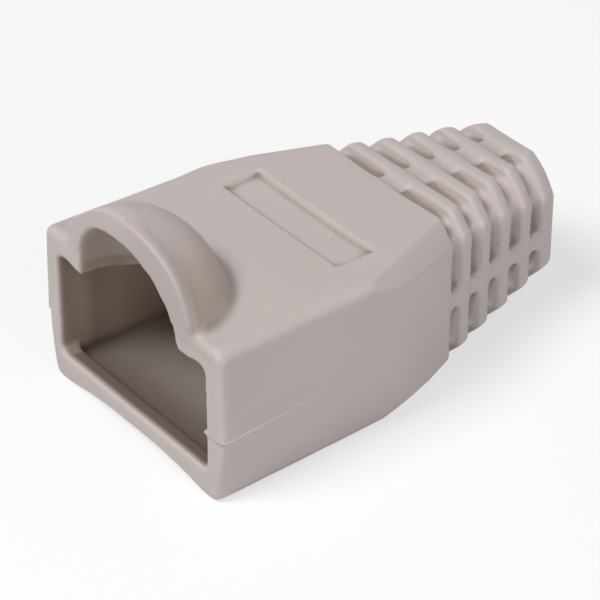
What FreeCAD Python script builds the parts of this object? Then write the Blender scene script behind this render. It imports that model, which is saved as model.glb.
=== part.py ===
import FreeCAD, Part
import os

import Sketcher

# Strain relief boot for an RJ45 plug: one soft moulding.
# The design frame has X along the cable from the mouth to the tail, Z up, and its origin in the
# middle of the mouth on the parting plane. The body's Placement then puts the bottom centre of
# the whole moulding at the document's origin.

DOCUMENT_NAME = "rj45_boot"
BODY_NAME = "boot"

# Rounding that a sketch corner is drawn with before the sheet sets it.
ROUGH_RADIUS = 0.2

# How near an edge has to be to a place to be picked there.
NEAR = 0.01

DIMENSIONS = {
    # outer shell: stations along the cable axis
    "shoulder_x": 10.4,
    "neck_x": 15.3,
    "waist_x": 19.0,
    "tail_x": 23.5,
    # full widths at the parting plane
    "mouth_outer_width": 14.5,
    "shoulder_width": 13.8,
    "neck_width": 10.5,
    "waist_width": 8.55,
    "tail_width": 6.9,
    # heights above and depths below the parting plane
    "deck_height": 4.55,
    "tail_height": 4.1,
    "base_depth": 4.1,
    "tail_depth": 3.15,
    # how far the box's sides lean in for each millimetre away from the parting plane
    "upper_lean": 0.035,
    "lower_lean": 0.14,
    # corner bevels: flats that run from the tail's end through the neck and fade into the box
    "neck_top_bevel": 1.05,
    "tail_top_bevel": 1.8,
    "neck_base_bevel": 1.1,
    "tail_base_bevel": 1.6,
    # rounded edges of the shell
    "shoulder_radius": 4.0,
    "top_edge_radius": 0.6,
    "base_edge_radius": 0.4,
    "front_edge_radius": 0.35,
    "tail_end_radius": 0.2,
    # latch hood over the mouth: a dome whose centre is ahead of the mouth plane, cut off by a
    # leaning front face that lies behind the centre
    "hood_ahead": 0.6,
    "hood_centre_height": 3.5,
    "hood_radius": 5.2,
    "hood_face": 0.57,
    "hood_lean_degrees": 6.0,
    "hood_rim_radius": 0.45,
    "hood_foot_radius": 0.6,
    # hollow of the hood
    "hollow_ahead": 0.1,
    "hollow_centre_height": 3.46,
    "hollow_radius": 4.15,
    # plug cavity: its ceiling rises beside the flat middle
    "cavity_width": 11.9,
    "cavity_top": 3.1,
    "cavity_side_top": 3.42,
    "ceiling_flat": 8.6,
    "cavity_depth": 3.2,
    "cavity_length": 10.5,
    "cavity_corner": 0.4,
    # sill that holds the plug in, and its bowed front edge
    "sill_depth": 2.5,
    "sill_length": 1.0,
    "sill_corner": 0.5,
    "sill_bow": 0.6,
    "sill_bow_span": 12.0,
    "sill_bow_length": 4.0,
    # cable bore through the tail
    "bore_radius": 2.75,
    "bore_height": 0.25,
    # label recess in the deck
    "recess_start": 8.75,
    "recess_length": 2.25,
    "recess_width": 8.9,
    "recess_depth": 0.3,
    # grooves round the tail: the ribs between them are well rounded towards the mouth
    "groove_count": 5,
    "groove_pitch": 1.6,
    "groove_width": 0.75,
    "groove_depth": 0.6,
    "rib_front_radius": 0.2,
    "rib_back_radius": 0.12,
    # webs that cross the grooves, and how far they lie under the ribs' outsides
    "upright_web": 1.6,
    "upright_web_step": 0.18,
    "level_web": 1.0,
    "level_web_step": 0.12,
    # how far cutting shapes reach past what they cut
    "overcut": 2.0,
}


def make_sheet(doc):
    sheet = doc.addObject("Spreadsheet::Sheet", "Sheet")
    for row, (alias, value) in enumerate(DIMENSIONS.items(), start=1):
        sheet.set(f"A{row}", alias)
        sheet.set(f"B{row}", str(value))
        sheet.setAlias(f"B{row}", alias)
    doc.recompute()
    return sheet


# ---- sketch helpers ----


def origin_plane(body, role):
    return next(item for item in body.Origin.OriginFeatures if item.Role == role)


def new_sketch(body, name, role, offset=None):
    """Sketch on an origin plane, pushed along the plane's normal by the expression in offset."""
    sketch = body.newObject("Sketcher::SketchObject", name)
    sketch.AttachmentSupport = (origin_plane(body, role), "")
    sketch.MapMode = "FlatFace"
    if offset is not None:
        sketch.setExpression("AttachmentOffset.Base.z", offset)
    return sketch


def add_line(sketch, start, end):
    return sketch.addGeometry(Part.LineSegment(FreeCAD.Vector(*start, 0), FreeCAD.Vector(*end, 0)), False)


def add_arc(sketch, centre, radius, start_angle, end_angle):
    circle = Part.Circle(FreeCAD.Vector(*centre, 0), FreeCAD.Vector(0, 0, 1), radius)
    return sketch.addGeometry(Part.ArcOfCircle(circle, start_angle, end_angle), False)


def add_polygon(sketch, points):
    """Closed outline of straight lines whose corners are joined; returns the first line's number."""
    first = sketch.GeometryCount
    count = len(points)
    for index, point in enumerate(points):
        add_line(sketch, point, points[(index + 1) % count])
    for index in range(count):
        following = first + (index + 1) % count
        sketch.addConstraint(Sketcher.Constraint("Coincident", first + index, 2, following, 1))
    return first


def set_size(sketch, name, expression, kind, *places):
    """Named dimension between places in a sketch, driven by an expression."""
    index = sketch.addConstraint(Sketcher.Constraint(kind, *places))
    sketch.renameConstraint(index, name)
    sketch.setExpression("Constraints." + name, expression)


def bind_point(sketch, line, label, x_expression, y_expression, x_sign=1, y_sign=1):
    """Tie the start of a line to a place given by two expressions for its distances from the axes."""
    corner = (line, 1)
    origin = (-1, 1)
    place = sketch.getPoint(*corner)
    for axis, sign, expression in (("x", x_sign, x_expression), ("y", y_sign, y_expression)):
        ends = (*origin, *corner) if sign > 0 else (*corner, *origin)
        rough_distance = abs(getattr(place, axis))
        set_size(sketch, label + axis, expression, "Distance" + axis.upper(), *ends, rough_distance)


def mirror_point(sketch, line, twin):
    """Make the starts of two lines mirror images about the sketch's vertical axis."""
    sketch.addConstraint(Sketcher.Constraint("Symmetric", line, 1, twin, 1, -2))


def round_corners(sketch, lines, label, radius_expression):
    """Round the outline where each of these lines starts; one named radius drives the arcs."""
    arcs = []
    for line in lines:
        sketch.fillet(line, 1, ROUGH_RADIUS, True, True)
        numbers = range(sketch.GeometryCount)
        arcs.append(max(n for n in numbers if sketch.Geometry[n].TypeId == "Part::GeomArcOfCircle"))
    for arc in arcs[1:]:
        sketch.addConstraint(Sketcher.Constraint("Equal", arcs[0], arc))
    set_size(sketch, label, radius_expression, "Radius", arcs[0], ROUGH_RADIUS)


# ---- feature helpers ----


def cut_along_cable(body, name, sketch, length):
    """Pocket from a sketch across the cable axis, running towards the tail."""
    pocket = body.newObject("PartDesign::Pocket", name)
    pocket.Profile = (sketch, [""])
    pocket.Reversed = True
    pocket.setExpression("Length", length)
    return pocket


def cut_slanting(body, name, sketch, direction, length):
    """Pocket whose walls run along a direction; its parts are whole numbers or expressions."""
    pocket = body.newObject("PartDesign::Pocket", name)
    pocket.Profile = (sketch, [""])
    pocket.UseCustomVector = True
    pocket.Direction = FreeCAD.Vector(*[part if isinstance(part, int) else 0 for part in direction])
    for axis, part in zip("xyz", direction):
        if not isinstance(part, int):
            pocket.setExpression("Direction." + axis, part)
    pocket.setExpression("Length", length)
    return pocket


def mirror_to_right(body, name, cuts):
    mirrored = body.newObject("PartDesign::Mirrored", name)
    mirrored.Originals = cuts
    mirrored.MirrorPlane = (origin_plane(body, "XZ_Plane"), [""])
    body.Tip = mirrored
    return mirrored


def round_edges(body, name, wanted, radius):
    """Fillet of every edge of the body so far that passes the test."""
    base = body.Tip
    body.Document.recompute()
    edges = enumerate(base.Shape.Edges, start=1)
    names = [f"Edge{number}" for number, edge in edges if wanted(edge, base.Shape)]
    fillet = body.newObject("PartDesign::Fillet", name)
    fillet.Base = (base, names)
    fillet.setExpression("Radius", radius)
    return fillet


# ---- outer shell ----


def add_profile(body):
    """Side view of the box and tail, extruded to the mouth's full width."""
    sketch = new_sketch(body, "profile_sketch", "XZ_Plane")
    add_polygon(sketch, [(0, -4), (15, -4), (23, -3), (23, 4), (15, 4.5), (0, 4.5)])
    bind_point(sketch, 0, "mouth_base_", "0 mm", "Sheet.base_depth", y_sign=-1)
    bind_point(sketch, 1, "neck_base_", "Sheet.neck_x", "Sheet.base_depth", y_sign=-1)
    bind_point(sketch, 2, "tail_base_", "Sheet.tail_x", "Sheet.tail_depth", y_sign=-1)
    bind_point(sketch, 3, "tail_top_", "Sheet.tail_x", "Sheet.tail_height")
    bind_point(sketch, 4, "neck_top_", "Sheet.neck_x", "Sheet.deck_height")
    bind_point(sketch, 5, "mouth_top_", "0 mm", "Sheet.deck_height")
    pad = body.newObject("PartDesign::Pad", "profile")
    pad.Profile = (sketch, [""])
    pad.Midplane = True
    pad.setExpression("Length", "Sheet.mouth_outer_width")
    return pad


def plan_sketch(body):
    """Plan view: the region to the left of the box, shoulder and tail."""
    sketch = new_sketch(body, "plan_sketch", "XY_Plane")
    beyond = "Sheet.tail_x + Sheet.overcut"
    outside = "Sheet.mouth_outer_width / 2 + Sheet.overcut"
    rough = [(-2, 7.2), (0, 7.2), (10, 6.8), (15, 5), (19, 4), (23, 3.4), (25, 3.4), (25, 9), (-2, 9)]
    add_polygon(sketch, rough)
    bind_point(sketch, 0, "ahead_", "Sheet.overcut", "Sheet.mouth_outer_width / 2", x_sign=-1)
    bind_point(sketch, 1, "mouth_", "0 mm", "Sheet.mouth_outer_width / 2")
    bind_point(sketch, 2, "shoulder_", "Sheet.shoulder_x", "Sheet.shoulder_width / 2")
    bind_point(sketch, 3, "neck_", "Sheet.neck_x", "Sheet.neck_width / 2")
    bind_point(sketch, 4, "waist_", "Sheet.waist_x", "Sheet.waist_width / 2")
    bind_point(sketch, 5, "tail_", "Sheet.tail_x", "Sheet.tail_width / 2")
    bind_point(sketch, 6, "behind_", beyond, "Sheet.tail_width / 2")
    bind_point(sketch, 7, "far_", beyond, outside)
    bind_point(sketch, 8, "near_", "Sheet.overcut", outside, x_sign=-1)
    return sketch


def cut_plan(body):
    pocket = body.newObject("PartDesign::Pocket", "plan")
    pocket.Profile = (plan_sketch(body), [""])
    pocket.Midplane = True
    pocket.setExpression("Length", "2 * (Sheet.deck_height + Sheet.overcut)")
    return pocket


def box_side_sketch(body):
    """Plan view: the region to the left of the box's side, carried straight on past the shoulder."""
    sketch = new_sketch(body, "box_side_sketch", "XY_Plane")
    outside = "Sheet.mouth_outer_width / 2 + Sheet.overcut"
    taper = "(Sheet.mouth_outer_width - Sheet.shoulder_width) / 2 * Sheet.neck_x / Sheet.shoulder_x"
    add_polygon(sketch, [(0, 7.2), (15, 6.7), (15, 9), (0, 9)])
    bind_point(sketch, 0, "mouth_", "0 mm", "Sheet.mouth_outer_width / 2")
    bind_point(sketch, 1, "neck_", "Sheet.neck_x", f"Sheet.mouth_outer_width / 2 - {taper}")
    bind_point(sketch, 2, "far_", "Sheet.neck_x", outside)
    bind_point(sketch, 3, "near_", "0 mm", outside)
    return sketch


def bevel_reach(station, face, height):
    """Expression for how far out a bevel's plane lies at a station.

    On that plane the distances from the upright and the level plane through the axis add up to it.
    """
    return f"(Sheet.{station}_width / 2 + {height} - Sheet.{station}_{face}_bevel)"


def cut_bevel(body, face, level, height, end_height):
    """Bevel the left long corner along a plane that fades into the box and widens to the tail."""
    neck_reach = bevel_reach("neck", face, height)
    tail_reach = bevel_reach("tail", face, end_height)
    slope = f"(({neck_reach} - {tail_reach}) / (Sheet.tail_x - Sheet.neck_x))"
    reach = f"{tail_reach} - {slope} * Sheet.overcut"
    sketch = new_sketch(body, f"{face}_bevel_sketch", "YZ_Plane", "Sheet.tail_x + Sheet.overcut")
    add_polygon(sketch, [(0, 5 * level), (5, 0), (5, 5 * level)])
    bind_point(sketch, 0, "inner_", "0 mm", reach, y_sign=level)
    bind_point(sketch, 1, "outer_", reach, "0 mm")
    bind_point(sketch, 2, "corner_", reach, reach, y_sign=level)
    direction = (-1, f"{slope} / 2", f"{level} * {slope} / 2")
    return cut_slanting(body, f"{face}_bevel", sketch, direction, "2 * Sheet.tail_x")


def is_long_top_edge(edge, shape):
    box = edge.BoundBox
    return box.XMin < NEAR and box.XMax > DIMENSIONS["shoulder_x"] / 2 and box.ZMin > NEAR


def is_long_base_edge(edge, shape):
    box = edge.BoundBox
    return box.XMin < NEAR and box.XMax > DIMENSIONS["shoulder_x"] / 2 and box.ZMax < -NEAR


def is_shoulder_edge(edge, shape):
    box = edge.BoundBox
    return box.ZLength > box.XLength and abs(box.XMin - DIMENSIONS["shoulder_x"]) < NEAR


def is_front_edge(edge, shape):
    return edge.BoundBox.XMax < NEAR


def add_shell(body):
    """Solid outer form: a box whose sides lean in both ways, its shoulders and a tapering tail."""
    add_profile(body)
    cut_plan(body)
    box_side = box_side_sketch(body)
    height = "Sheet.deck_height + Sheet.overcut"
    depth = "Sheet.base_depth + Sheet.overcut"
    cuts = [
        body.Tip,
        cut_slanting(body, "upper_side", box_side, (0, "-Sheet.upper_lean", 1), height),
        cut_slanting(body, "lower_side", box_side, (0, "-Sheet.lower_lean", -1), depth),
    ]
    mirror_to_right(body, "right_side", cuts)
    round_edges(body, "top_edges", is_long_top_edge, "Sheet.top_edge_radius")
    round_edges(body, "base_edges", is_long_base_edge, "Sheet.base_edge_radius")
    bevels = [
        cut_bevel(body, "top", 1, "Sheet.deck_height", "Sheet.tail_height"),
        cut_bevel(body, "base", -1, "Sheet.base_depth", "Sheet.tail_depth"),
    ]
    mirror_to_right(body, "right_bevels", bevels)
    round_edges(body, "shoulder_edges", is_shoulder_edge, "Sheet.shoulder_radius")
    round_edges(body, "front_edges", is_front_edge, "Sheet.front_edge_radius")


# ---- latch hood ----


def dome_sketch(body, name, ahead, height, radius):
    """Sketch for half a dome's outline, whose horizontal axis is the dome's and leans with the face.

    The sketch's origin is the dome's centre. Its first piece of geometry is the dome's arc, from
    the back of the axis towards the front.
    """
    sketch = new_sketch(body, name, "XZ_Plane")
    sketch.setExpression("AttachmentOffset.Base.x", f"-{ahead}")
    sketch.setExpression("AttachmentOffset.Base.y", height)
    sketch.setExpression("AttachmentOffset.Rotation.Angle", "Sheet.hood_lean_degrees * 1 deg")
    add_arc(sketch, (0, 0), 5, 0, 1.2)
    sketch.addConstraint(Sketcher.Constraint("Coincident", 0, 3, -1, 1))
    sketch.addConstraint(Sketcher.Constraint("PointOnObject", 0, 1, -1))
    set_size(sketch, "dome_radius", radius, "Radius", 0, 5)
    return sketch


def revolve(body, kind, name, sketch):
    feature = body.newObject("PartDesign::" + kind, name)
    feature.Profile = (sketch, [""])
    feature.ReferenceAxis = (sketch, ["H_Axis"])
    feature.Angle = 360
    return feature


def add_hood(body):
    """Dome with a flat, leaning front face and a rounded rim."""
    sketch = dome_sketch(
        body, "hood_sketch", "Sheet.hood_ahead", "Sheet.hood_centre_height", "Sheet.hood_radius"
    )
    rim = add_arc(sketch, (1.3, 4.5), 0.4, 1.2, 3.1)
    face = add_line(sketch, (0.9, 4.5), (0.9, 0))
    axis = add_line(sketch, (0.9, 0), (5, 0))
    sketch.addConstraint(Sketcher.Constraint("Tangent", 0, 2, rim, 1))
    sketch.addConstraint(Sketcher.Constraint("Tangent", rim, 2, face, 1))
    sketch.addConstraint(Sketcher.Constraint("Coincident", face, 2, axis, 1))
    sketch.addConstraint(Sketcher.Constraint("Coincident", axis, 2, 0, 1))
    sketch.addConstraint(Sketcher.Constraint("Vertical", face))
    sketch.addConstraint(Sketcher.Constraint("PointOnObject", face, 2, -1))
    set_size(sketch, "face_place", "Sheet.hood_face", "DistanceX", -1, 1, face, 2, 0.9)
    set_size(sketch, "rim_radius", "Sheet.hood_rim_radius", "Radius", rim, 0.4)
    return revolve(body, "Revolution", "hood", sketch)


def cut_hollow(body):
    """Hollow under the hood: a smaller dome, carried straight out through the front face."""
    sketch = dome_sketch(
        body, "hollow_sketch", "Sheet.hollow_ahead", "Sheet.hollow_centre_height", "Sheet.hollow_radius"
    )
    roof = add_line(sketch, (0, 5), (-2, 5))
    end = add_line(sketch, (-2, 5), (-2, 0))
    axis = add_line(sketch, (-2, 0), (5, 0))
    sketch.addConstraint(Sketcher.Constraint("PointOnObject", 0, 2, -2))
    sketch.addConstraint(Sketcher.Constraint("Coincident", 0, 2, roof, 1))
    sketch.addConstraint(Sketcher.Constraint("Coincident", roof, 2, end, 1))
    sketch.addConstraint(Sketcher.Constraint("Coincident", end, 2, axis, 1))
    sketch.addConstraint(Sketcher.Constraint("Coincident", axis, 2, 0, 1))
    sketch.addConstraint(Sketcher.Constraint("Horizontal", roof))
    sketch.addConstraint(Sketcher.Constraint("Vertical", end))
    sketch.addConstraint(Sketcher.Constraint("PointOnObject", end, 2, -1))
    set_size(sketch, "overcut", "Sheet.overcut", "DistanceX", axis, 1, -1, 1, 2)
    return revolve(body, "Groove", "hollow", sketch)


def hood_reach():
    """Expression for how far the hood's rim stands out in front of the mouth plane."""
    lean = "Sheet.hood_lean_degrees * 1 deg"
    behind = "(Sheet.hood_face + Sheet.hood_rim_radius)"
    above = f"sqrt((Sheet.hood_radius - Sheet.hood_rim_radius) ^ 2 - {behind} ^ 2)"
    centre = f"{above} * sin({lean}) - {behind} * cos({lean})"
    return f"(Sheet.hood_ahead + Sheet.hood_rim_radius + {centre})"


def is_hood_foot(edge, shape):
    """Where the hood meets the deck."""
    box = edge.BoundBox
    on_deck = abs(box.ZMin - DIMENSIONS["deck_height"]) < NEAR and box.ZLength < 2 * NEAR
    return on_deck and max(box.XMax, -box.YMin, box.YMax) < DIMENSIONS["hood_radius"] and box.YLength > NEAR


# ---- label recess ----


def cut_label_recess(body):
    """Shallow bare rectangle across the deck."""
    sketch = new_sketch(body, "recess_sketch", "XY_Plane", "Sheet.deck_height - Sheet.recess_depth")
    add_polygon(sketch, [(11, 4), (9, 4), (9, -4), (11, -4)])
    far = "Sheet.recess_start + Sheet.recess_length"
    bind_point(sketch, 0, "far_left_", far, "Sheet.recess_width / 2")
    bind_point(sketch, 1, "near_left_", "Sheet.recess_start", "Sheet.recess_width / 2")
    bind_point(sketch, 2, "near_right_", "Sheet.recess_start", "Sheet.recess_width / 2", y_sign=-1)
    bind_point(sketch, 3, "far_right_", far, "Sheet.recess_width / 2", y_sign=-1)
    pocket = body.newObject("PartDesign::Pocket", "label_recess")
    pocket.Profile = (sketch, [""])
    pocket.Reversed = True
    pocket.setExpression("Length", "Sheet.recess_depth + Sheet.overcut")
    return pocket


# ---- interrupted grooves ----


def between(start, stop, first, second, place):
    """Expression for a size at a place, on a straight line between its sizes at two stations."""
    share = f"({place} - Sheet.{start}_x) / (Sheet.{stop}_x - Sheet.{start}_x)"
    return f"({first} + ({second} - {first}) * {share})"


def top_at(place):
    return between("neck", "tail", "Sheet.deck_height", "Sheet.tail_height", place)


def base_at(place):
    return between("neck", "tail", "Sheet.base_depth", "Sheet.tail_depth", place)


def side_at(start, place):
    """Half width at a place, on the stretch of the tail that starts at the neck or at the waist."""
    stop = "waist" if start == "neck" else "tail"
    return between(start, stop, f"Sheet.{start}_width / 2", f"Sheet.{stop}_width / 2", place)


def add_groove_floor(sketch, groove, place):
    """Section of the tail inside a groove, everywhere the same depth under the surface."""
    rough_place = DIMENSIONS["neck_x"] + groove * DIMENSIONS["groove_pitch"]
    start = "neck" if rough_place < DIMENSIONS["waist_x"] else "waist"
    side = f"({side_at(start, place)} - Sheet.groove_depth)"
    right = [(2, 3.5), (3.3, 2.4), (3.3, -1.7), (2, -2.7)]
    first = add_polygon(sketch, right + [(-x, y) for x, y in reversed(right)])
    for face, sign, level, heights, inner, outer in (
        ("top", 1, top_at(place), ("Sheet.deck_height", "Sheet.tail_height"), 0, 1),
        ("base", -1, base_at(place), ("Sheet.base_depth", "Sheet.tail_depth"), 3, 2),
    ):
        reaches = [bevel_reach(end, face, height) for end, height in zip(("neck", "tail"), heights)]
        reach = f"({between('neck', 'tail', *reaches, place)} - Sheet.groove_depth * sqrt(2))"
        floor = f"({level} - Sheet.groove_depth)"
        bind_point(sketch, first + inner, face + "_flat_", f"{reach} - {floor}", floor, y_sign=sign)
        bind_point(sketch, first + outer, face + "_side_", side, f"{reach} - {side}", y_sign=sign)
    for corner in range(len(right)):
        mirror_point(sketch, first + corner, first + 2 * len(right) - 1 - corner)


def add_rectangle(sketch, label, half_width, height, depth):
    """Rectangle centred on the vertical axis, reaching above and below the horizontal one."""
    first = add_polygon(sketch, [(8, 8), (-8, 8), (-8, -8), (8, -8)])
    bind_point(sketch, first, label + "_top_", half_width, height)
    bind_point(sketch, first + 3, label + "_base_", half_width, depth, y_sign=-1)
    mirror_point(sketch, first, first + 1)
    mirror_point(sketch, first + 3, first + 2)


def cut_groove(body, groove):
    """Ring cut all round the tail."""
    name = f"groove_{groove + 1}"
    place = f"(Sheet.neck_x + {groove} * Sheet.groove_pitch)"
    sketch = new_sketch(body, name + "_sketch", "YZ_Plane", place)
    add_rectangle(sketch, "outside", "Sheet.neck_width", "Sheet.neck_width", "Sheet.neck_width")
    add_groove_floor(sketch, groove, place)
    return cut_along_cable(body, name, sketch, "Sheet.groove_width")


def is_outer_ring_edge(edge, shape, offset, towards):
    """Edge of the tail's outside in one of the planes that lie this far behind the grooves' starts.

    The rib is on one side of the plane: towards is 1 where that is the tail's side, else -1.
    """
    box = edge.BoundBox
    starts = [
        DIMENSIONS["neck_x"] + groove * DIMENSIONS["groove_pitch"]
        for groove in range(DIMENSIONS["groove_count"])
    ]
    if box.XLength > NEAR or not any(abs(box.XMin - start - offset) < NEAR for start in starts):
        return False
    middle = edge.valueAt(edge.getParameterByLength(edge.Length / 2))
    outwards = FreeCAD.Vector(0, middle.y, middle.z).normalize()
    step = 10 * NEAR
    beside = middle + FreeCAD.Vector(towards * step, 0, 0) + outwards * step
    return not shape.isInside(beside, NEAR / 10, True)


def is_rib_front_edge(edge, shape):
    return is_outer_ring_edge(edge, shape, DIMENSIONS["groove_width"], 1)


def is_rib_back_edge(edge, shape):
    return is_outer_ring_edge(edge, shape, 0, -1)


def add_upright_web(body):
    """Bar along the top and the base of the tail that crosses the grooves."""
    sketch = new_sketch(body, "upright_web_sketch", "XZ_Plane")
    start = "Sheet.neck_x"
    stop = "(Sheet.tail_x - Sheet.groove_width)"
    step = "Sheet.upright_web_step"
    add_polygon(sketch, [(15, -4), (22, -3), (22, 4), (15, 4.3)])
    bind_point(sketch, 0, "neck_base_", start, f"Sheet.base_depth - {step}", y_sign=-1)
    bind_point(sketch, 1, "stop_base_", stop, f"{base_at(stop)} - {step}", y_sign=-1)
    bind_point(sketch, 2, "stop_top_", stop, f"{top_at(stop)} - {step}")
    bind_point(sketch, 3, "neck_top_", start, f"Sheet.deck_height - {step}")
    return add_bar(body, "upright_web", sketch)


def add_level_web(body):
    """Bar along both sides of the tail that crosses the grooves."""
    sketch = new_sketch(body, "level_web_sketch", "XY_Plane")
    stop = "(Sheet.tail_x - Sheet.groove_width)"
    left = [(15, 5), (19, 4), (22, 3.5)]
    add_polygon(sketch, left + [(x, -y) for x, y in reversed(left)])
    for corner, (station, place, half_width) in enumerate(
        (
            ("neck", "Sheet.neck_x", "Sheet.neck_width / 2"),
            ("waist", "Sheet.waist_x", "Sheet.waist_width / 2"),
            ("stop", stop, side_at("waist", stop)),
        )
    ):
        bind_point(sketch, corner, station + "_", place, f"{half_width} - Sheet.level_web_step")
        sketch.addConstraint(Sketcher.Constraint("Symmetric", corner, 1, 5 - corner, 1, -1))
    return add_bar(body, "level_web", sketch)


def add_bar(body, name, sketch):
    """Pad to both sides of the sketch; the dimension of the same name gives its thickness."""
    bar = body.newObject("PartDesign::Pad", name)
    bar.Profile = (sketch, [""])
    bar.Midplane = True
    bar.setExpression("Length", "Sheet." + name)
    return bar


def is_tail_end_edge(edge, shape):
    box = edge.BoundBox
    return box.XMin > DIMENSIONS["tail_x"] - NEAR


# ---- inside ----


def cavity_outline(sketch, depth, corner):
    """Section of the way for the plug: level in the middle of its ceiling, higher at the sides."""
    half_width = "Sheet.cavity_width / 2"
    half_flat = "Sheet.ceiling_flat / 2"
    add_polygon(sketch, [(6, 3.4), (4.5, 3.1), (-4.5, 3.1), (-6, 3.4), (-6, -3), (6, -3)])
    bind_point(sketch, 0, "side_top_", half_width, "Sheet.cavity_side_top")
    bind_point(sketch, 1, "ceiling_", half_flat, "Sheet.cavity_top")
    bind_point(sketch, 5, "floor_", half_width, depth, y_sign=-1)
    mirror_point(sketch, 0, 3)
    mirror_point(sketch, 1, 2)
    mirror_point(sketch, 5, 4)
    round_corners(sketch, (0, 3, 4, 5), "corner_radius", corner)


def cut_cavity(body):
    """Room for the plug's rear half, deeper than the mouth so that the sill holds the plug in."""
    sketch = new_sketch(body, "cavity_sketch", "YZ_Plane", "Sheet.sill_length")
    cavity_outline(sketch, "Sheet.cavity_depth", "Sheet.cavity_corner")
    return cut_along_cable(body, "cavity", sketch, "Sheet.cavity_length - Sheet.sill_length")


def cut_mouth(body):
    """Opening between the sill and the ceiling, from in front of the hood to behind the sill."""
    sketch = new_sketch(body, "mouth_sketch", "YZ_Plane", "-Sheet.overcut")
    cavity_outline(sketch, "Sheet.sill_depth", "Sheet.sill_corner")
    return cut_along_cable(body, "mouth", sketch, "Sheet.overcut + Sheet.sill_length + Sheet.cavity_corner")


def cut_bore(body):
    """Round way for the cable, from the back of the cavity out of the tail."""
    sketch = new_sketch(body, "bore_sketch", "YZ_Plane", "Sheet.cavity_length - Sheet.overcut")
    sketch.addGeometry(Part.Circle(FreeCAD.Vector(0, 0.5, 0), FreeCAD.Vector(0, 0, 1), 2.5), False)
    sketch.addConstraint(Sketcher.Constraint("PointOnObject", 0, 3, -2))
    set_size(sketch, "bore_height", "Sheet.bore_height", "DistanceY", -1, 1, 0, 3, 0.5)
    set_size(sketch, "bore_radius", "Sheet.bore_radius", "Radius", 0, 2.5)
    length = "Sheet.tail_x - Sheet.cavity_length + 2 * Sheet.overcut"
    return cut_along_cable(body, "bore", sketch, length)


def bow_sill(body):
    """Scoop the front edge of the base with a very large ball, so that it arches upwards."""
    half_span = "(Sheet.sill_bow_span / 2)"
    arch_radius = f"(({half_span} ^ 2 + Sheet.sill_bow ^ 2) / (2 * Sheet.sill_bow))"
    ahead = f"(({half_span} ^ 2 - Sheet.sill_bow_length ^ 2) / (2 * Sheet.sill_bow_length))"
    ball = body.newObject("PartDesign::SubtractiveSphere", "sill_bow")
    ball.AttachmentSupport = (origin_plane(body, "XY_Plane"), "")
    ball.MapMode = "FlatFace"
    ball.setExpression("Radius", f"sqrt({ahead} ^ 2 + {arch_radius} ^ 2)")
    ball.setExpression("AttachmentOffset.Base.x", f"-{ahead}")
    ball.setExpression("AttachmentOffset.Base.z", f"Sheet.sill_bow - Sheet.base_depth - {arch_radius}")
    return ball


# ---- the whole moulding ----


def build_boot(doc):
    body = doc.addObject("PartDesign::Body", BODY_NAME)
    body.Label = BODY_NAME
    add_shell(body)
    add_hood(body)
    round_edges(body, "hood_foot", is_hood_foot, "Sheet.hood_foot_radius")
    for groove in range(DIMENSIONS["groove_count"]):
        cut_groove(body, groove)
    round_edges(body, "rib_fronts", is_rib_front_edge, "Sheet.rib_front_radius")
    round_edges(body, "rib_backs", is_rib_back_edge, "Sheet.rib_back_radius")
    round_edges(body, "tail_end", is_tail_end_edge, "Sheet.tail_end_radius")
    add_upright_web(body)
    add_level_web(body)
    cut_label_recess(body)
    bow_sill(body)
    cut_cavity(body)
    cut_mouth(body)
    cut_bore(body)
    cut_hollow(body)
    body.setExpression("Placement.Base.x", f"({hood_reach()} - Sheet.tail_x) / 2")
    body.setExpression("Placement.Base.z", "Sheet.base_depth")
    return body


def check_document(doc, body):
    failed = [item.Name for item in doc.Objects if "Invalid" in item.State or "Error" in item.State]
    if failed:
        raise RuntimeError("features failed: " + ", ".join(failed))
    loose = [
        item.Name
        for item in doc.Objects
        if item.TypeId == "Sketcher::SketchObject" and not item.FullyConstrained
    ]
    if loose:
        raise RuntimeError("sketches not fully constrained: " + ", ".join(loose))
    if body.Shape.isNull() or not body.Shape.isValid():
        raise RuntimeError("the body's shape is not valid")
    if len(body.Shape.Solids) != 1:
        raise RuntimeError("the moulding is not one solid")


def main():
    doc = FreeCAD.newDocument(DOCUMENT_NAME)
    make_sheet(doc)
    body = build_boot(doc)
    doc.recompute()
    check_document(doc, body)
    os.makedirs("parts", exist_ok=True)
    body.Shape.exportStep(f"parts/{body.Label}.step")
    print(body.Label, "volume", round(body.Shape.Volume, 1), "mm3")


main()
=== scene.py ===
"""Looks of the RJ45 strain relief boot: soft grey PVC, studio light and the camera."""
import math

import bpy
import numpy as np
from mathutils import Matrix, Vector, noise


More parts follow.
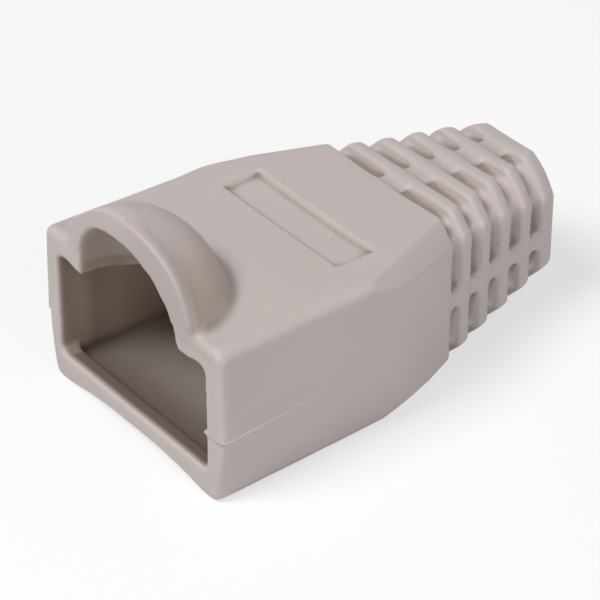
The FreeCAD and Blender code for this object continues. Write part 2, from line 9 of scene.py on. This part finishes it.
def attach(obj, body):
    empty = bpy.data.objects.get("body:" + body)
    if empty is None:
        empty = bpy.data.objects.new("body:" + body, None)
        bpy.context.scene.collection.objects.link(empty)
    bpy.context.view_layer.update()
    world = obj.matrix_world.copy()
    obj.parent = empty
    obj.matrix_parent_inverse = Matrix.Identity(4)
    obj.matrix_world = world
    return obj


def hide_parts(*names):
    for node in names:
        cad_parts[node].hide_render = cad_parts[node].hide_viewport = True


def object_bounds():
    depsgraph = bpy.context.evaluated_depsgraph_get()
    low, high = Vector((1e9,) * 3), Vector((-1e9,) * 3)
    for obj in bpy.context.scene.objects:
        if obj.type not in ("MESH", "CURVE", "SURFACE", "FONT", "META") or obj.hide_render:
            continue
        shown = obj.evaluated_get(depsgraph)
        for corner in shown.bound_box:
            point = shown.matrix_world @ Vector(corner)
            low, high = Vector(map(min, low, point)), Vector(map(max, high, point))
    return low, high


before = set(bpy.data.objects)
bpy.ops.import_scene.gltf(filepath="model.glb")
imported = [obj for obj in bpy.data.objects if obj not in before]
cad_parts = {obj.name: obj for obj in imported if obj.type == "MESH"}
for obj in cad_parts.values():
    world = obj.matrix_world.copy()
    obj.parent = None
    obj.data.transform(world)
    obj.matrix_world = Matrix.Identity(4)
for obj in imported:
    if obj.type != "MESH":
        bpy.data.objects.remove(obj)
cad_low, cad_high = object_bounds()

MM = 0.001

# Lengths and places on the boot are in millimetres, in the frame: the mouth looks along -X and the
# hood rises on +Z. The camera, floor and lamps are in metres.

# where the CAD model has its parts
FRONT_X = -11.49
NECK_END_X = 3.81
DECK_Z = 8.65
CABLE_Z = 4.35
CABLE_BORE_RADIUS = 2.75

# latch hood: a dome round a centre ahead of the mouth, cut off by a face that leans forward
HOOD_X = -12.09
HOOD_Z = 7.6
HOOD_LEAN = math.radians(6)
HOOD_FACE = 0.57
HOOD_FOOT_RADIUS = 5.09
HOOD_INNER_RADIUS = 4.3

# even mesh: spacing of its points, how far each round of softening goes, the rounds for each
# place, and the share of its faces that is kept
POINT_SPACING = 0.12
SOFTENING = 0.5
BOX_ROUNDS = 2
TAIL_ROUNDS = 7
BASE_ROUNDS = 8
HOOD_FOOT_ROUNDS = 30
HOLLOW_ROUNDS = 60
KEPT_SHARE = 0.67

# the rim round the hood's face: where its edge starts, and how it grows outward and inward.
# Turns are in degrees round the hood's axis, from -Y up to +Y.
RIM_REACH = 4.64
RIM_DEPTH = 0.45
RIM_SQUARENESS = 6
RIM_FADE = 0.9
FLARE = 0.1
SIDE_FLARE = 0.55
SIDE_FLARE_TURN = 45
SIDE_FLARE_SPREAD = 24
INNER_FILL = 0.12
SIDE_INNER_FILL = 0.28

# plane that flattens the hood's +Y shoulder
SHOULDER_SLOPE = (0.0, 0.602, 0.799)
SHOULDER_REACH = 10.93
SHOULDER_SOFTNESS = 0.2

# bulge of the long bevels: stations along the cable, and the value at each one
BEVEL_TURN = ((-3.0, 4.0, 12.0), (33.0, 42.0, 50.0))
BEVEL_SPREAD = 15
UPPER_BULGE = ((-4.0, 0.0, 3.7, 4.2, 7.0, 9.5, 12.0), (0.0, 0.2, 0.17, 0.03, 0.06, 0.21, 0.23))
LOWER_BULGE = ((-1.0, 2.0, 3.7, 4.2, 12.0), (0.0, 0.18, 0.1, 0.03, 0.05))

# parting line along the sides: it climbs to the back, with one small jog
PARTING_Z = 3.72
PARTING_CLIMB = 0.035
JOG_START_X = -7.4
JOG_END_X = -7.0
JOG_HEIGHT = 0.13
STEP_AT_MOUTH = 0.11
STEP_BEHIND = 0.02
STEP_SOFTNESS = 0.06
LIP_SHARE = 0.5
LIP_FADE = 0.25
SET_BACK_FADE = 0.5
FAR_SIDE_SHARE = 0.5
FLASH_LIFT = 0.04

# small faults of the moulding; cells are to the millimetre
FAR_WALL_THINNING = 0.15
UNEVENNESS = 0.03
UNEVENNESS_CELLS = 0.35
RAGGED_NEAR = 0.11
RAGGED_FAR = 0.03
RAGGED_CELLS = 1.3
NIB_Z = 3.75
NIB_HEIGHT = 0.16
NIB_LENGTH = 0.22
NOISE_SEED = 5

# colours of the PVC, with the painted shade and painted highlight on it
GREY = (0.52, 0.465, 0.445)
LIGHT_GREY = (0.54, 0.485, 0.465)
ROSY_GREY = (0.53, 0.465, 0.45)
# painted shade in the plug socket: darkest for the sill's shadow, lighter further in
FLOOR_SHADOW_AT_SILL = (0.13, 0.1, 0.085)
FLOOR_SHADE_BEHIND = (0.33, 0.285, 0.255)
WALL_SHADE_AT_MOUTH = (0.34, 0.255, 0.2)
WALL_SHADE_BEHIND = (0.56, 0.45, 0.38)
# painted shade under the hood's dome
HOOD_INSIDE_SHADE = (0.46, 0.36, 0.29)
# painted shade on the hood's flanks
HOOD_FLANK_SHADE = (0.49, 0.385, 0.325)
HOOD_FACE_SHADE = (0.42, 0.36, 0.34)
# painted shade in grooves and creases
GROOVE_SHADE = (0.2, 0.16, 0.13)
# paler edges: partly wear, partly painted highlight
EDGE_HIGHLIGHT_AND_WEAR = (0.63, 0.565, 0.55)
# pale flash, partly its own colour, partly painted highlight of the lip
PALE_FLASH_AND_HIGHLIGHT = (0.76, 0.675, 0.655)
SPECK = (0.12, 0.1, 0.09)

# scales of the material's noise, in cells to the metre
BLUSH_CELLS = 90
MOTTLING_CELLS = 260
FLASH_BREAK_CELLS = 420
DRAG_CELLS = 900
SPECK_CELLS = 900
GRAIN_CELLS = 5200

# camera: a long lens, level, looking down at the mouth's -Y corner
CAMERA_AZIMUTH = math.radians(-37.6)
CAMERA_ELEVATION = math.radians(34.2)
CAMERA_DISTANCE = 147 * MM
CAMERA_LENS = 180
AIM = Vector((-1.22, 0.28, 3.56)) * MM

# floor and soft light
FLOOR_HALF_WIDTH = 0.6
FLOOR_WHITENESS = 0.6
SOFT_LIGHT = 0.2


def ramp(values, low, high):
    """Smooth step from 0 at low to 1 at high, for arrays; low may be the greater one."""
    share = np.clip((values - low) / (high - low), 0, 1)
    return share * share * (3 - 2 * share)


def bell(values, width):
    """Smooth bump: 1 at 0, fading out on both sides over about twice the width."""
    return np.exp(-((values / width) ** 2))


# ---- the moulded mesh ----


def with_modifier(mesh, kind, **settings):
    """New mesh that a modifier makes from this one."""
    piece = bpy.data.objects.new("draft", mesh)
    bpy.context.scene.collection.objects.link(piece)
    modifier = piece.modifiers.new("draft", kind)
    for name, value in settings.items():
        setattr(modifier, name, value)
    graph = bpy.context.evaluated_depsgraph_get()
    result = bpy.data.meshes.new_from_object(piece.evaluated_get(graph))
    bpy.data.objects.remove(piece)
    return result


def read_points(mesh):
    """A mesh's points in millimetres and its edges, as arrays."""
    points = np.empty(len(mesh.vertices) * 3)
    mesh.vertices.foreach_get("co", points)
    edges = np.empty(len(mesh.edges) * 2, dtype=np.int32)
    mesh.edges.foreach_get("vertices", edges)
    return points.reshape(-1, 3) / MM, edges.reshape(-1, 2)


def place_points(mesh, points):
    """Set a mesh's points from millimetres, kept within the CAD model's box."""
    mesh.vertices.foreach_set("co", np.clip(points * MM, cad_low, cad_high).ravel())
    mesh.update()


def relax(points, edges, share, rounds):
    """Move each point part of the way to the middle of its neighbours, round after round."""
    ends = np.concatenate((edges, edges[:, ::-1]))
    count = np.bincount(ends[:, 0], minlength=len(points))
    for _ in range(rounds):
        middle = np.empty_like(points)
        for axis in range(3):
            sums = np.bincount(ends[:, 0], points[ends[:, 1], axis], len(points))
            middle[:, axis] = sums / count
        points += (middle - points) * share[:, None]


def soften_edges(points, edges):
    """Round every edge a little, the tail's ribs more, and the hood's +Y foot most."""
    x, y, z = points.T
    relax(points, edges, np.full(len(points), SOFTENING), BOX_ROUNDS)
    tail = SOFTENING * ramp(x, NECK_END_X - 0.5, NECK_END_X + 0.1)
    relax(points, edges, tail, TAIL_ROUNDS - BOX_ROUNDS)
    base = SOFTENING * ramp(z, 0.9, 0.3) * ramp(x, NECK_END_X, NECK_END_X - 1.0)
    relax(points, edges, base, BASE_ROUNDS)
    from_foot = np.hypot(np.hypot(x - HOOD_X, y) - HOOD_FOOT_RADIUS, z - DECK_Z)
    foot = SOFTENING * ramp(from_foot, 1.3, 0.6) * ramp(y, 3.0, 3.8)
    relax(points, edges, foot, HOOD_FOOT_ROUNDS)


def hood_places(points):
    """Each point's depth behind the hood's face, height over its axis, and turn round it."""
    x, y, z = points.T
    ahead, above = x - HOOD_X, z - HOOD_Z
    depth = ahead * math.cos(HOOD_LEAN) + above * math.sin(HOOD_LEAN) - HOOD_FACE
    height = above * math.cos(HOOD_LEAN) - ahead * math.sin(HOOD_LEAN)
    turn = np.degrees(np.arctan2(height, -y))
    return depth, height, np.where(turn < -90, turn + 360, turn)


def rim_sharpening(depth, height, reach):
    """How far to push the rim's rounded edge out of its round, as a share of its place in it."""
    outward = np.clip(reach - RIM_REACH, 0, None)
    forward = np.clip(RIM_DEPTH - depth, 0, None)
    blunt = (outward**RIM_SQUARENESS + forward**RIM_SQUARENESS) ** (1 / RIM_SQUARENESS)
    sharpen = np.hypot(outward, forward) / np.maximum(blunt, 1e-9) - 1
    sharpen *= (outward > 0) * (forward > 0) * ramp(height, 0.9, 1.5) * ramp(reach, 6.2, 5.6)
    return outward * sharpen, forward * sharpen


def rim_growth(depth, height, reach, turn):
    """How far the wall grows near the face: outward most on the -Y shoulder, and inward."""
    outer = FLARE + SIDE_FLARE * bell(turn - SIDE_FLARE_TURN, SIDE_FLARE_SPREAD)
    outer *= ramp(reach, 4.3, 4.9) * ramp(reach, 6.3, 5.6) * ramp(height, 0.6, 1.6)
    inner = INNER_FILL + SIDE_INNER_FILL * ramp(turn, 125, 90)
    inner *= ramp(reach, 3.2, 3.6) * ramp(reach, 4.8, 4.3) * ramp(height, -1.2, 0.0)
    return (outer - inner) * bell(np.clip(depth, 0, None), RIM_FADE)


def shape_hood(points):
    """Crisp rim round the hood's face, which is broader and flared on its -Y side."""
    depth, height, turn = hood_places(points)
    reach = np.hypot(points[:, 1], height)
    outward, forward = rim_sharpening(depth, height, reach)
    depth -= forward
    grown = reach + outward + rim_growth(depth, height, reach, turn)
    scale = grown / np.maximum(reach, 1e-9)
    depth += HOOD_FACE
    height *= scale
    points[:, 0] = HOOD_X + depth * math.cos(HOOD_LEAN) - height * math.sin(HOOD_LEAN)
    points[:, 1] *= scale
    points[:, 2] = HOOD_Z + depth * math.sin(HOOD_LEAN) + height * math.cos(HOOD_LEAN)


def flatten_far_shoulder(points):
    """Press the hood's +Y shoulder in to a softly bounded plane."""
    x, y, z = points.T
    slope = np.array(SHOULDER_SLOPE)
    over = (points @ slope - SHOULDER_REACH) / SHOULDER_SOFTNESS
    excess = SHOULDER_SOFTNESS * np.log1p(np.exp(np.clip(over, -30, 30)))
    place = ramp(x, -6.5, -7.5) * ramp(y, 0.0, 1.0) * ramp(z, DECK_Z, DECK_Z + 0.5)
    points -= (excess * place)[:, None] * slope


def fill_bevels(points):
    """Make the long bevels of the neck and tail bulge, so that they read as one soft curve."""
    x, y, z = points.T
    reach = np.hypot(y, z - CABLE_Z)
    turn = np.degrees(np.arctan2(z - CABLE_Z, np.abs(y)))
    outside = ramp(reach, CABLE_BORE_RADIUS + 0.1, CABLE_BORE_RADIUS + 0.5)
    middle = np.interp(x, *BEVEL_TURN)
    upper = np.interp(x, *UPPER_BULGE) * bell(turn - middle, BEVEL_SPREAD)
    lower = np.interp(x, *LOWER_BULGE) * bell(turn + middle, BEVEL_SPREAD)
    push = (upper + lower) * outside
    points[:, 1] += np.sign(y) * np.cos(np.radians(turn)) * push
    points[:, 2] += np.sin(np.radians(turn)) * push


def thin_far_wall(points):
    """The mouth's +Y wall is thinner at its edge than the other one."""
    x, y, z = points.T
    inner = ramp(y, 5.4, 5.7) * ramp(y, 6.6, 6.2) * ramp(z, 7.6, 7.0) * ramp(z, 1.4, 2.0)
    points[:, 1] += FAR_WALL_THINNING * inner * ramp(x, FRONT_X + 2.0, FRONT_X + 0.8)


def step_parting_line(points):
    """Step where the mould's halves meet: a thin lip above the line, set back below it."""
    x, y, z = points.T
    jog = JOG_HEIGHT * ramp(x, JOG_START_X, JOG_END_X)
    above = z - (PARTING_Z + PARTING_CLIMB * (x - FRONT_X) + jog)
    lip = LIP_SHARE * ramp(above, -STEP_SOFTNESS, STEP_SOFTNESS)
    lip *= np.exp(-np.clip(above, 0, None) / LIP_FADE)
    set_back = ramp(above, STEP_SOFTNESS, -STEP_SOFTNESS)
    set_back *= np.exp(np.clip(above, None, 0) / SET_BACK_FADE)
    step = lip - set_back
    step *= STEP_BEHIND + (STEP_AT_MOUTH - STEP_BEHIND) * ramp(x, 1.0, -8.0)
    step *= np.where(y < 0, 1.0, FAR_SIDE_SHARE)
    on_side = ramp(np.abs(y), 6.2, 6.5) * ramp(x, NECK_END_X - 0.3, NECK_END_X - 0.8)
    on_front = ramp(x, FRONT_X + 0.3, FRONT_X + 0.1) * ramp(np.abs(y), 5.9, 6.1)
    points[:, 1] += np.sign(y) * step * on_side
    points[:, 0] -= step * on_front


def roughen(points):
    """Slow unevenness, and the ragged edge and nib that the mould's core left on the mouth."""
    x, y, z = points.T
    at_edge = ramp(x, FRONT_X + 0.7, FRONT_X + 0.2)
    at_edge *= ramp(np.abs(y), 5.2, 5.6) * ramp(np.abs(y), 6.5, 6.1)
    ragged = at_edge * np.where(y < 0, RAGGED_NEAR, RAGGED_FAR)
    points[:, 1] += NIB_LENGTH * at_edge * bell(z - NIB_Z, NIB_HEIGHT) * (y < 0)
    noise.seed_set(NOISE_SEED)
    for index, point in enumerate(points):
        point += np.array(noise.noise_vector(Vector(point) * UNEVENNESS_CELLS)) * UNEVENNESS
        if ragged[index] > 0:
            point[1] += noise.noise(Vector((0, 0, point[2] * RAGGED_CELLS))) * ragged[index]


def store_hollowness(mesh, edges):
    """Keep how far each point lies under (+) or stands out from (-) the surface around it."""
    points, _ = read_points(mesh)
    smooth = points.copy()
    relax(smooth, edges, np.full(len(points), SOFTENING), HOLLOW_ROUNDS)
    normals = np.empty(len(points) * 3)
    mesh.vertex_normals.foreach_get("vector", normals)
    under = ((smooth - points) * normals.reshape(-1, 3)).sum(axis=1)
    mesh.attributes.new("hollow", "FLOAT", "POINT").data.foreach_set("value", under)


def moulded_mesh(node):
    """A CAD node's mesh with softened edges and the small faults that the plain solid lacks."""
    mesh = with_modifier(node.data.copy(), "REMESH", mode="VOXEL", voxel_size=POINT_SPACING * MM)
    points, edges = read_points(mesh)
    soften_edges(points, edges)
    for change in (
        shape_hood,
        flatten_far_shoulder,
        fill_bevels,
        thin_far_wall,
        step_parting_line,
        roughen,
    ):
        change(points)
    place_points(mesh, points)
    store_hollowness(mesh, edges)

    mesh = with_modifier(mesh, "DECIMATE", ratio=KEPT_SHARE)
    # thinning can carry a point just past the box
    place_points(mesh, read_points(mesh)[0])
    mesh.shade_smooth()
    return mesh


def mould_boot(node):
    piece = bpy.data.objects.new("moulded_boot", moulded_mesh(node))
    bpy.context.scene.collection.objects.link(piece)
    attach(piece, "root")
    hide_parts("boot")
    piece.data.materials.clear()
    piece.data.materials.append(pvc_material())


# ---- materials ----


class Nodes:
    """Short calls for building one node tree."""

    def __init__(self, owner):
        owner.use_nodes = True
        self.tree = owner.node_tree
        self.tree.nodes.clear()

    def add(self, kind, values=None, **settings):
        node = self.tree.nodes.new(kind)
        for key, value in settings.items():
            setattr(node, key, value)
        for key, value in (values or {}).items():
            node.inputs[key].default_value = value
        return node

    def link(self, source, target):
        self.tree.links.new(source, target)

    def math(self, operation, first, second=None, clamp=False):
        """One math node; each input is a socket or a number."""
        node = self.add("ShaderNodeMath", operation=operation, use_clamp=clamp)
        for index, value in enumerate((first, second)):
            if value is None:
                continue
            if isinstance(value, (int, float)):
                node.inputs[index].default_value = value
            else:
                self.link(value, node.inputs[index])
        return node.outputs[0]

    def product(self, first, *others):
        for other in others:
            first = self.math("MULTIPLY", first, other)
        return first

    def noise(self, coordinates, scale, detail=2.0, roughness=0.5):
        values = {"Scale": scale, "Detail": detail, "Roughness": roughness}
        node = self.add("ShaderNodeTexNoise", values)
        self.link(coordinates, node.inputs["Vector"])
        return node.outputs["Fac"]

    def remap(self, value, low, high, to_low=0.0, to_high=1.0):
        """Smooth step of a value from one range to another."""
        node = self.add(
            "ShaderNodeMapRange",
            {"From Min": low, "From Max": high, "To Min": to_low, "To Max": to_high},
            interpolation_type="SMOOTHSTEP",
        )
        self.link(value, node.inputs["Value"])
        return node.outputs["Result"]

    def reached(self, value, none_at, full_at, full=1.0):
        """Smooth step from 0 at one place to full at another, both in millimetres."""
        return self.remap(value, none_at * MM, full_at * MM, 0.0, full)

    def mix(self, factor, first, second):
        """Colour mix; each colour is a socket or an RGB triple."""
        node = self.add("ShaderNodeMix", data_type="RGBA")
        self.link(factor, node.inputs["Factor"])
        for name, value in (("A", first), ("B", second)):
            socket = next(s for s in node.inputs if s.name == name and s.type == "RGBA")
            if isinstance(value, tuple):
                socket.default_value = (*value, 1)
            else:
                self.link(value, socket)
        return next(s for s in node.outputs if s.type == "RGBA")

    def shader_mix(self, factor, first, second):
        """Mix of two shaders; the factor is a socket or a number."""
        node = self.add("ShaderNodeMixShader")
        if isinstance(factor, float):
            node.inputs[0].default_value = factor
        else:
            self.link(factor, node.inputs[0])
        self.link(first.outputs[0], node.inputs[1])
        self.link(second.outputs[0], node.inputs[2])
        return node


class Surface:
    """Where the shaded point is: its position, axis by axis, and how hollow it is there."""

    def __init__(self, nodes):
        self.position = nodes.add("ShaderNodeNewGeometry").outputs["Position"]
        axes = nodes.add("ShaderNodeSeparateXYZ")
        nodes.link(self.position, axes.inputs[0])
        self.x, self.y, self.z = axes.outputs
        self.aside = nodes.math("ABSOLUTE", self.y)
        self.hollow = nodes.add("ShaderNodeAttribute", attribute_name="hollow").outputs["Fac"]


def specks(nodes, place):
    """Sparse dark specks, each about a tenth of a millimetre across."""
    values = {"Scale": SPECK_CELLS, "Randomness": 1.0}
    cells = nodes.add("ShaderNodeTexVoronoi", values, feature="F1")
    nodes.link(place.position, cells.inputs["Vector"])
    near = nodes.remap(cells.outputs["Distance"], 0.03, 0.07, 1.0, 0.0)
    chosen = nodes.add("ShaderNodeSeparateColor")
    nodes.link(cells.outputs["Color"], chosen.inputs[0])
    rare = nodes.math("GREATER_THAN", chosen.outputs[0], 0.91)
    return nodes.product(near, rare, 0.6)


def inside_socket(nodes, place):
    """1 on the walls of the plug socket and its hollow, where shade is painted, 0 on the outside.
    """
    return nodes.product(
        nodes.reached(place.aside, 6.4, 6.2),
        nodes.reached(place.x, FRONT_X + 0.05, FRONT_X + 0.4),
        nodes.reached(place.x, -0.7, -0.8),
        nodes.reached(place.z, 0.5, 0.8),
        nodes.reached(place.z, 8.0, 7.7),
    )


def socket_painted_shade(nodes, place):
    """Painted shade, brown, in the depth of the socket: darkest for the sill's shadow on its step
    and the floor behind.
    """
    floor = nodes.mix(nodes.reached(place.x, -10.4, -6.0), FLOOR_SHADOW_AT_SILL, FLOOR_SHADE_BEHIND)
    wall = nodes.mix(nodes.reached(place.x, -9.8, -7.8), WALL_SHADE_AT_MOUTH, WALL_SHADE_BEHIND)
    # the sill's step counts as floor, so the painted shadow of the sill lies on it too
    on_sill = nodes.product(
        nodes.reached(place.x, -11.2, -10.9),
        nodes.reached(place.x, -10.2, -10.5),
        nodes.reached(place.aside, 5.6, 5.2),
    )
    height = nodes.math("SUBTRACT", place.z, nodes.product(on_sill, 0.75 * MM))
    return nodes.mix(nodes.reached(height, 1.3, 1.9), floor, wall)


def hood_flank_shade(nodes, place):
    """1 low on the hood's flanks behind its face, where warm shade is painted."""
    return nodes.product(
        nodes.reached(place.x, -11.4, -10.9),
        nodes.reached(place.z, DECK_Z + 0.15, DECK_Z + 0.5),
        nodes.reached(place.z, 12.7, 9.8),
        nodes.reached(place.aside, 0.5, 3.2),
    )


def under_hood(nodes, place):
    """1 on the dome's inner side, where shade is painted, 0 on its face and outside."""
    centre = {1: (HOOD_X * MM, 0, HOOD_Z * MM)}
    reach = nodes.add("ShaderNodeVectorMath", centre, operation="DISTANCE")
    nodes.link(place.position, reach.inputs[0])
    inner = nodes.reached(reach.outputs["Value"], HOOD_INNER_RADIUS + 0.2, HOOD_INNER_RADIUS)
    return nodes.product(inner, nodes.reached(place.x, -11.5, -11.1))


def shaded_hood_face(nodes, place):
    """1 on the -Y half of the hood's face, where a little shade is painted, as that half turns
    away from the light.
    """
    return nodes.product(
        nodes.reached(place.x, -11.2, -11.4),
        nodes.reached(place.z, 7.5, 8.5),
        nodes.reached(place.y, 0.5, -2.5),
    )


def parting_flash_and_highlight(nodes, place):
    """Thin pale flash along the parting line, with a painted highlight of the lip's top; strong at
    the mouth and broken further back.
    """
    behind = nodes.math("SUBTRACT", place.x, FRONT_X * MM)
    climb = nodes.product(behind, PARTING_CLIMB)
    jog = nodes.reached(place.x, JOG_START_X, JOG_END_X, JOG_HEIGHT * MM)
    line = nodes.math("ADD", nodes.math("ADD", climb, jog), (PARTING_Z + FLASH_LIFT) * MM)
    gap = nodes.math("ABSOLUTE", nodes.math("SUBTRACT", place.z, line))
    width = nodes.remap(nodes.noise(place.position, DRAG_CELLS), 0.35, 0.65, 0.07 * MM, 0.14 * MM)
    thin = nodes.math("SUBTRACT", 1.0, nodes.math("DIVIDE", gap, width), clamp=True)
    fade = nodes.reached(place.x, 1.0, -9.0, 0.9)
    outside = nodes.reached(place.aside, 6.05, 6.3)
    whole = nodes.remap(nodes.noise(place.position, FLASH_BREAK_CELLS, 1.0), 0.42, 0.52)
    unbroken = nodes.math("MAXIMUM", whole, nodes.reached(place.x, -6.9, -7.6))
    return nodes.product(thin, fade, outside, unbroken)


def pvc_colour(nodes, place):
    """Mottled warm grey; painted shade in the socket, hood and hollows; paler edges and flash,
    part wear, part painted highlight.
    """
    mottling = nodes.remap(nodes.noise(place.position, MOTTLING_CELLS, 3.0), 0.3, 0.7)
    blush = nodes.remap(nodes.noise(place.position, BLUSH_CELLS), 0.35, 0.65)
    colour = nodes.mix(blush, nodes.mix(mottling, GREY, LIGHT_GREY), ROSY_GREY)

    inside = inside_socket(nodes, place)
    outside = nodes.math("SUBTRACT", 1.0, inside)
    # painted shade: darker where the surface lies under its surroundings, in grooves and creases
    hollow_shade = nodes.remap(place.hollow, 0.03, 0.15)
    # painted highlight on rounded edges, with some wear: paler where the surface stands out
    edges = nodes.remap(place.hollow, -0.05, -0.2)
    off_hood = nodes.remap(place.z, 8.8 * MM, 9.2 * MM, 1.0, 0.2)
    for factor, tint in (
        # painted shade in the plug socket
        (nodes.product(inside, 0.95), socket_painted_shade(nodes, place)),
        # painted shade under the hood
        (nodes.product(under_hood(nodes, place), 0.6), HOOD_INSIDE_SHADE),
        # painted shade on the hood's flanks
        (nodes.product(hood_flank_shade(nodes, place), 0.8), HOOD_FLANK_SHADE),
        # painted shade in grooves and creases
        (nodes.product(hollow_shade, 0.85, outside), GROOVE_SHADE),
        # painted shade on the -Y half of the hood's face
        (nodes.product(shaded_hood_face(nodes, place), 0.5), HOOD_FACE_SHADE),
        # painted highlight and wear on edges
        (nodes.product(edges, 0.25, outside, off_hood), EDGE_HIGHLIGHT_AND_WEAR),
        # pale flash with a painted highlight along the parting line
        (nodes.product(parting_flash_and_highlight(nodes, place), outside), PALE_FLASH_AND_HIGHLIGHT),
        (specks(nodes, place), SPECK),
    ):
        colour = nodes.mix(factor, colour, tint)
    return colour


def pvc_material():
    """Soft grey PVC with a fine moulded grain."""
    material = bpy.data.materials.new("soft_pvc")
    nodes = Nodes(material)
    place = Surface(nodes)

    grain = nodes.noise(place.position, GRAIN_CELLS, 2.0, 0.6)
    drag = nodes.noise(place.position, DRAG_CELLS, 3.0)
    relief = nodes.math("ADD", nodes.product(grain, 0.25), nodes.product(drag, 0.6))
    bump = nodes.add("ShaderNodeBump", {"Strength": 0.35, "Distance": 0.03 * MM})
    nodes.link(relief, bump.inputs["Height"])

    shader = nodes.add(
        "ShaderNodeBsdfPrincipled",
        {
            "IOR": 1.5,
            "Specular IOR Level": 0.4,
            "Subsurface Weight": 0.12,
            "Subsurface Radius": (1.0, 0.65, 0.45),
            "Subsurface Scale": 0.6 * MM,
        },
    )
    nodes.link(pvc_colour(nodes, place), shader.inputs["Base Color"])
    nodes.link(nodes.remap(drag, 0.3, 0.7, 0.5, 0.6), shader.inputs["Roughness"])
    nodes.link(bump.outputs[0], shader.inputs["Normal"])
    output = nodes.add("ShaderNodeOutputMaterial")
    nodes.link(shader.outputs[0], output.inputs["Surface"])
    return material


def floor_material():
    """Plain white paper; the camera sees it near white, with the boot's shadow kept but pale."""
    material = bpy.data.materials.new("floor_paper")
    nodes = Nodes(material)
    paper = nodes.add("ShaderNodeBsdfDiffuse", {"Color": (0.8, 0.8, 0.8, 1)})
    shaded = nodes.add("ShaderNodeBsdfDiffuse", {"Color": (1, 1, 1, 1)})
    white = nodes.add("ShaderNodeEmission", {"Color": (1, 1, 1, 1), "Strength": 1.0})
    pale = nodes.shader_mix(FLOOR_WHITENESS, shaded, white)
    path = nodes.add("ShaderNodeLightPath")
    choice = nodes.shader_mix(path.outputs["Is Camera Ray"], paper, pale)
    output = nodes.add("ShaderNodeOutputMaterial")
    nodes.link(choice.outputs[0], output.inputs["Surface"])
    return material


# ---- the studio ----


def add_floor():
    half = FLOOR_HALF_WIDTH
    corners = [(-half, -half, 0), (half, -half, 0), (half, half, 0), (-half, half, 0)]
    mesh = bpy.data.meshes.new("floor")
    mesh.from_pydata(corners, [], [(0, 1, 2, 3)])
    mesh.materials.append(floor_material())
    floor = bpy.data.objects.new("floor", mesh)
    floor.location.z = cad_low.z
    bpy.context.scene.collection.objects.link(floor)


def aim_at(thing, target):
    """Turn a camera or lamp so that it looks at the target, with the picture level."""
    thing.rotation_euler = (target - thing.location).to_track_quat("-Z", "Y").to_euler()


def add_lamp(name, direction, distance, size, power):
    """Round lamp that shines on the boot from a direction; metres and watts."""
    light = bpy.data.lights.new(name, "AREA")
    light.shape = "DISK"
    light.size = size
    light.energy = power
    lamp = bpy.data.objects.new(name, light)
    lamp.location = AIM + Vector(direction).normalized() * distance
    bpy.context.scene.collection.objects.link(lamp)
    aim_at(lamp, AIM)


def add_world(strength):
    """Soft light from all round; the camera and reflections see plain white."""
    world = bpy.data.worlds.new("studio")
    nodes = Nodes(world)
    soft = nodes.add("ShaderNodeBackground", {"Color": (1, 1, 1, 1), "Strength": strength})
    white = nodes.add("ShaderNodeBackground", {"Color": (1, 1, 1, 1)})
    path = nodes.add("ShaderNodeLightPath")
    seen = nodes.math("MAXIMUM", path.outputs["Is Camera Ray"], path.outputs["Is Glossy Ray"])
    choice = nodes.shader_mix(seen, soft, white)
    output = nodes.add("ShaderNodeOutputWorld")
    nodes.link(choice.outputs[0], output.inputs["Surface"])
    bpy.context.scene.world = world


def add_camera():
    camera = bpy.data.objects.new("camera", bpy.data.cameras.new("camera"))
    camera.data.lens = CAMERA_LENS
    camera.data.sensor_width = 36
    camera.data.clip_start = 0.01
    across = math.cos(CAMERA_ELEVATION)
    back = Vector(
        (
            math.sin(CAMERA_AZIMUTH) * across,
            -math.cos(CAMERA_AZIMUTH) * across,
            math.sin(CAMERA_ELEVATION),
        )
    )
    camera.location = AIM + back * CAMERA_DISTANCE
    aim_at(camera, AIM)
    bpy.context.scene.collection.objects.link(camera)
    bpy.context.scene.camera = camera


mould_boot(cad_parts["boot"])
add_floor()
add_lamp("key", direction=(-0.7, 0.08, 1.0), distance=0.35, size=0.16, power=0.9)
add_lamp("side", direction=(0.0, -1.0, 0.45), distance=0.4, size=0.3, power=0.52)
add_world(SOFT_LIGHT)
add_camera()
bpy.context.scene.view_settings.view_transform = "Standard"
